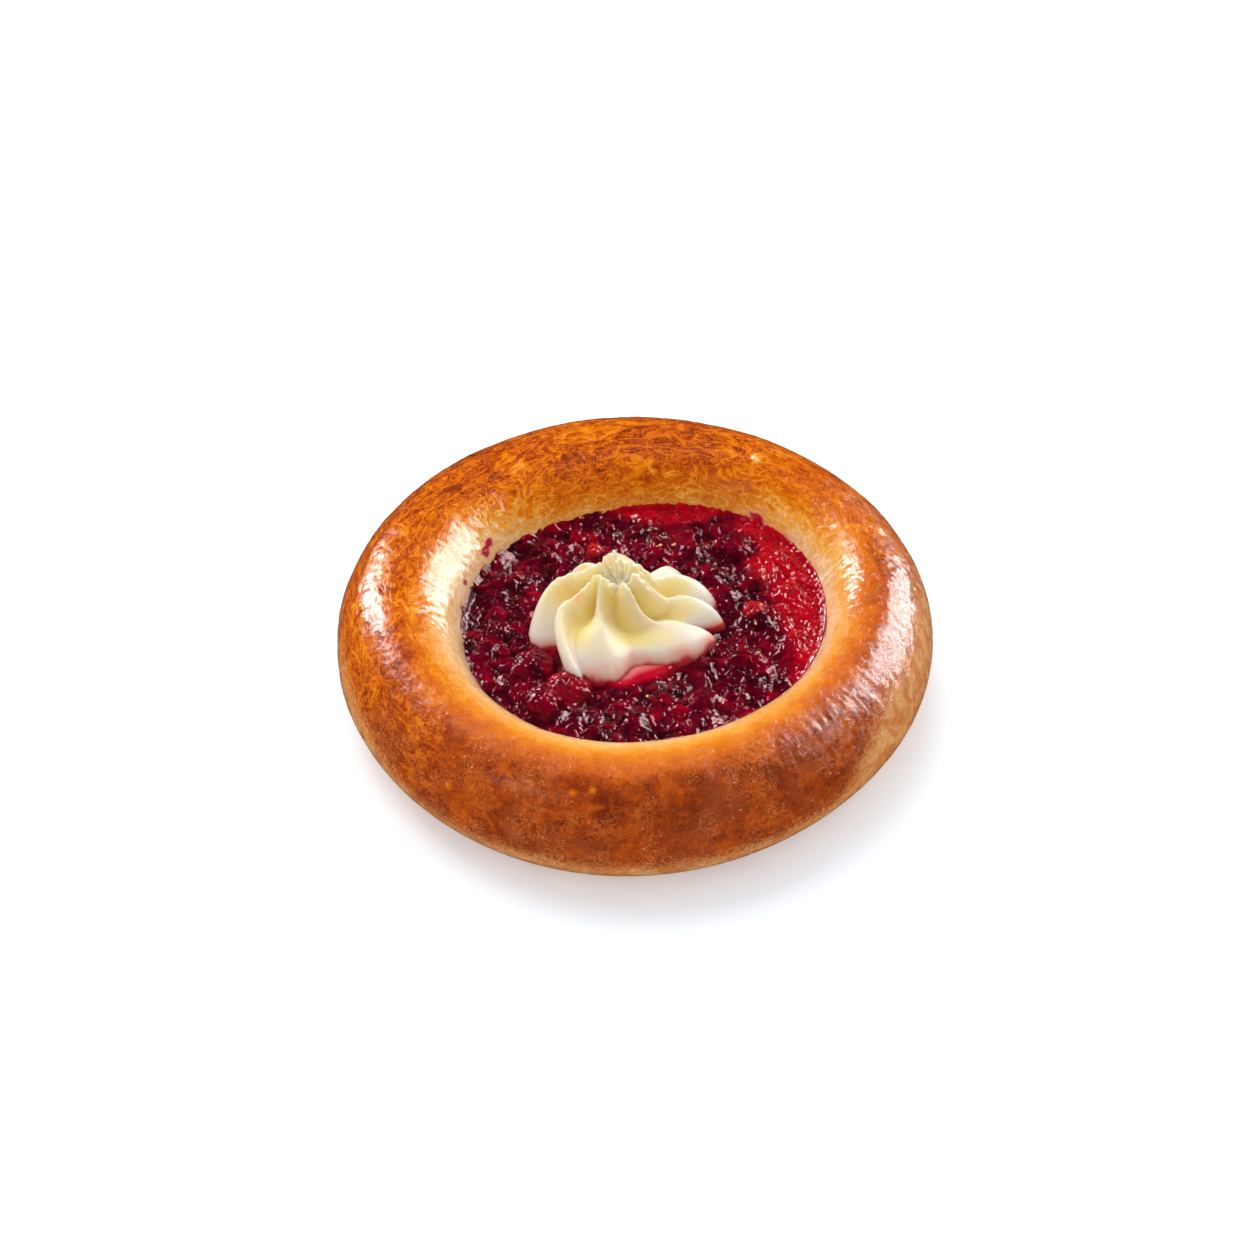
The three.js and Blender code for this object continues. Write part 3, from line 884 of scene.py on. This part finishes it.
seed_sizes = {"Density": 16000.0, "Length": 1.1 * MM, "Seed": 5}
seed_group, nodes, start = new_group("seeds", seed_sizes)
heap_place = nodes.add("GeometryNodeInputPosition")
middle = to_frame @ Vector((*cream_centre, filling_level))
flat_way = nodes.vector("MULTIPLY", nodes.vector("SUBTRACT", heap_place, middle), (1, 1, 0))
away = nodes.vector("LENGTH", flat_way).output("Value")
in_band = away.rising(band_start, band_start + band_fade) * away.rising(band_end, band_end - band_fade)
_, _, facing_up = nodes.parts(nodes.add("GeometryNodeInputNormal"))
_, _, high = nodes.parts(heap_place)
spread = nodes.add(
    "GeometryNodeDistributePointsOnFaces",
    {
        "Mesh": start.output("Geometry"),
        "Selection": (in_band * facing_up.above(0.4) * high.above(filling_level * MM)).above(0.5),
        "Density": start.output("Density"),
        "Seed": start.output("Seed"),
    },
)
grain = nodes.add("GeometryNodeMeshIcoSphere", {"Radius": start.output("Length") / 2, "Subdivisions": 2})
turned = nodes.add("FunctionNodeRandomValue", turn_range, data_type="FLOAT_VECTOR")
size = nodes.add("FunctionNodeRandomValue", seed_range, data_type="FLOAT")
scale = nodes.add("ShaderNodeCombineXYZ", {0: size, 1: size * seed_width, 2: size * seed_thickness})
placed = nodes.add(
    "GeometryNodeInstanceOnPoints", {"Points": spread, "Instance": grain, "Rotation": turned, "Scale": scale}
)
end_group(nodes, placed, seed_finish)

seeds = grown("seeds", seed_group, seed_sizes, filling.data.copy(), Matrix())
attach(seeds, "root")


# ---------------------------------------------------------------- cream
# A rosette of thick cream, piped through an open star nozzle in one push and pulled off short, so
# that its nine ridges end in torn tips. It has sunk a little into the berries.
cream_height, cream_dimple, cream_edge, cream_sunk = 15.0, 9.2, 2.0, 0.9
cream_lean = (-2.5, 1.3)
cream_columns, cream_rows = 540, 90

# Each ridge from the left one on, anticlockwise: the angle at which it leaves the middle of the top,
# the angles it turns through to at half way and at the foot, how far out it ends in millimetres,
# the heights of its torn tip and of its lower stretch as shares of the whole, and how deep the valley
# after it cuts into the foot.
cream_ridges = (
    (150, 166, 197, 18.8, 0.80, 0.68, 1.0),
    (184, 201, 248, 18.9, 0.74, 0.60, 0.1),
    (216, 248, 262, 16.4, 0.80, 0.46, 1.0),
    (300, 334, 345, 17.6, 0.76, 0.30, 1.0),
    (355, 370, 361, 18.6, 0.80, 0.37, 1.0),
    (387, 393, 381, 18.2, 0.88, 0.50, 1.0),
    (412, 412, 416, 17.0, 0.80, 0.44, 1.0),
    (450, 458, 464, 17.4, 0.92, 0.55, 1.0),
    (486, 488, 496, 16.0, 0.88, 0.60, 1.0),
)

# How deep the valleys between the ridges cut inwards and downwards, at the top and at the foot, how
# round they are there, and how far they lean over and lag behind the ridges.
valley_in_top, valley_in_foot, valley_down_top, valley_down_foot = 0.34, 0.26, 0.24, 0.52
valley_round_top, valley_round_foot, valley_shift, valley_lag = 1.3, 2.4, 0.13, 0.1

# The torn tips stand up by a share of the height. Where they and the ends of the dimple and of the
# foot's round edge lie is a share of the way out from the middle. The torn cream waves by millimetres.
torn_tip, torn_out, torn_width = 0.07, 0.2, 0.07
dimple_end, edge_start = 0.2, 0.82
ragged = 0.45

# Juice drawn up over the cream: x, y, height, half of what it measures across, and how strong. It also
# climbs the foot by some millimetres, and further in front.
cream_smudges = (
    (-10.4, -2.8, 25.0, 1.9, 0.8),
    (-13.6, -0.5, 22.5, 1.6, 0.4),
    (-3.3, 4.2, 29.0, 0.8, 0.9),
)
foot_climb, front_gain, front_turn = 4.0, 0.45, math.radians(290)

ridge_count = len(cream_ridges)
ridge_place = np.arange(cream_columns) / cream_columns * ridge_count
before = np.floor(ridge_place).astype(int)
share = ridge_place - before


def ridge(step):
    """The ridge that lies steps on from the one before each column, with its angles counted on past 360."""
    values = np.array(cream_ridges, float)[(before + step) % ridge_count]
    values[:, :3] += 360 * ((before + step) // ridge_count)[:, None]
    return values


def between_ridges(last, first, second, following, share):
    """A smooth curve through the values at four ridges, between the middle two."""
    share = share[:, None]
    straight = 2 * first + (second - last) * share
    bent = (2 * last - 5 * first + 4 * second - following) * share**2
    return (straight + bent + (3 * (first - second) + following - last) * share**3) / 2


top, middle, foot, reach, tip, shoulder, _ = between_ridges(ridge(-1), ridge(0), ridge(1), ridge(2), share).T
foot_depth = valley_in_foot * ridge(0)[:, 6]
out = np.linspace(0.004, 1, cream_rows)[:, None]  # from the middle of the top to the foot

ridge_sine = np.sin(math.pi * (share + valley_shift * np.sin(math.pi * share)))
near_foot = rising(out, 0.4, 0.9)
near_tips = rising(out, 0.36, 0.2)
valley_round = valley_round_top + (valley_round_foot - valley_round_top) * near_foot + near_tips
valley = ridge_sine**valley_round
level = 1 - out**4
steep = rising(out, 0.15, 0.48)
valley_down = valley_down_top + (valley_down_foot - valley_down_top) * steep
rise = (shoulder * level + (tip - shoulder) * (1 - steep)) * (1 - valley_down * valley * level)
rise = rise + torn_tip * (1 - valley) ** 2 * np.exp(-(((out - torn_out) / torn_width) ** 2))
rise = rise + (cream_dimple / cream_height - rise) * rising(out, dimple_end, 0)
edge = np.sqrt(1 - np.clip((out - edge_start) / (1 - edge_start), 0, 1) ** 2)

first_turn = rising(out, 0.25, 0.6)
last_turn = np.clip((out - 0.6) / 0.4, 0, 1) ** 1.4
ridge_angle = np.radians(top + (middle - top) * first_turn + (foot - middle) * last_turn)
angle = ridge_angle - valley_lag * valley * out
valley_in = foot_depth + (valley_in_top - foot_depth) * (1 - out)
radius = reach * out * (1 - valley_in * valley)
x = radius * np.cos(angle) + cream_centre[0] + cream_lean[0] * rise**2
y = radius * np.sin(angle) + cream_centre[1] + cream_lean[1] * rise**2
z = rise * (cream_height + cream_sunk - cream_edge) + cream_edge * edge + filling_level - cream_sunk
z = z + ragged * np.sin(x * 2.6 + 1) * np.sin(y * 2.9 + z * 1.3) * rising(rise, 0.35, 0.75)

# Marks for the cream's colour: how deep in a flute each point lies, for the yellow painted shade in the
# flutes, how near the juice at the foot, and how smudged it is.
flute = ridge_sine**0.8 * rising(out, 0.08, 0.28) * rising(out, 0.97, 0.67)
in_front = rising(np.cos(angle - front_turn), 0.2, 0.8)
at_foot = 1 - (z - filling_level) / foot_climb * (1 - front_gain * in_front)
smudge = sum(
    strength * np.exp(-((x - at_x) ** 2 + (y - at_y) ** 2 + (z - at_z) ** 2) / half**2)
    for at_x, at_y, at_z, half, strength in cream_smudges
)
cream_marks = {
    "flute": (flute[::-1], (1.0, 0.4)),
    "foot": (at_foot[::-1], (1.0, 0.0)),
    "smudge": (smudge[::-1], (1.0, 0.0)),
}
rosette_mesh = closed_mesh("rosette", np.stack([x, y, z], -1)[::-1], cream_marks)

cream, nodes, shader = material(
    "cream", subsurface_weight=1.0, subsurface_scale=0.004, subsurface_radius=(1.0, 0.8, 0.45)
)
place = nodes.millimetres()
_, _, height = nodes.parts(place)
flute, foot, smudge = map(nodes.mark, ("flute", "foot", "smudge"))
curd = nodes.noise(place, 1.6, 3.0)
drift = nodes.noise(place, 0.25, 2.0)
upper = nodes.mix(height.rising(17.0, 23.0), srgb(232, 224, 216), srgb(227, 215, 184))
# Painted shade: the flutes are painted yellower, deeper in them.
flute_shaded = nodes.mix((flute * (0.5 + drift)).rising(0.1, 1.1), upper, srgb(236, 216, 132))
juice_line = (foot + (drift - 0.5) * 0.6).rising(0.5, 0.9)
smudged = (smudge + (curd - 0.5) * 0.8).rising(0.2, 0.9)
pink = nodes.mix((juice_line * 0.75).most(smudged * 0.6), flute_shaded, srgb(240, 150, 132))
red_line = (foot + (drift - 0.5) * 0.4).rising(0.78, 0.96)
cream_colour = nodes.mix(red_line * 0.95, pink, srgb(196, 24, 50))
bump = nodes.add("ShaderNodeBump", {"Height": curd, "Distance": 0.08 * MM, "Strength": 0.6})
wire_up(shader, base_color=cream_colour, roughness=0.4 + 0.15 * curd, normal=bump)
rosette_mesh.materials.append(cream)
rosette_mesh.transform(to_frame)
rosette = in_scene("rosette", rosette_mesh)
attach(rosette, "root")
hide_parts("cream_rosette")
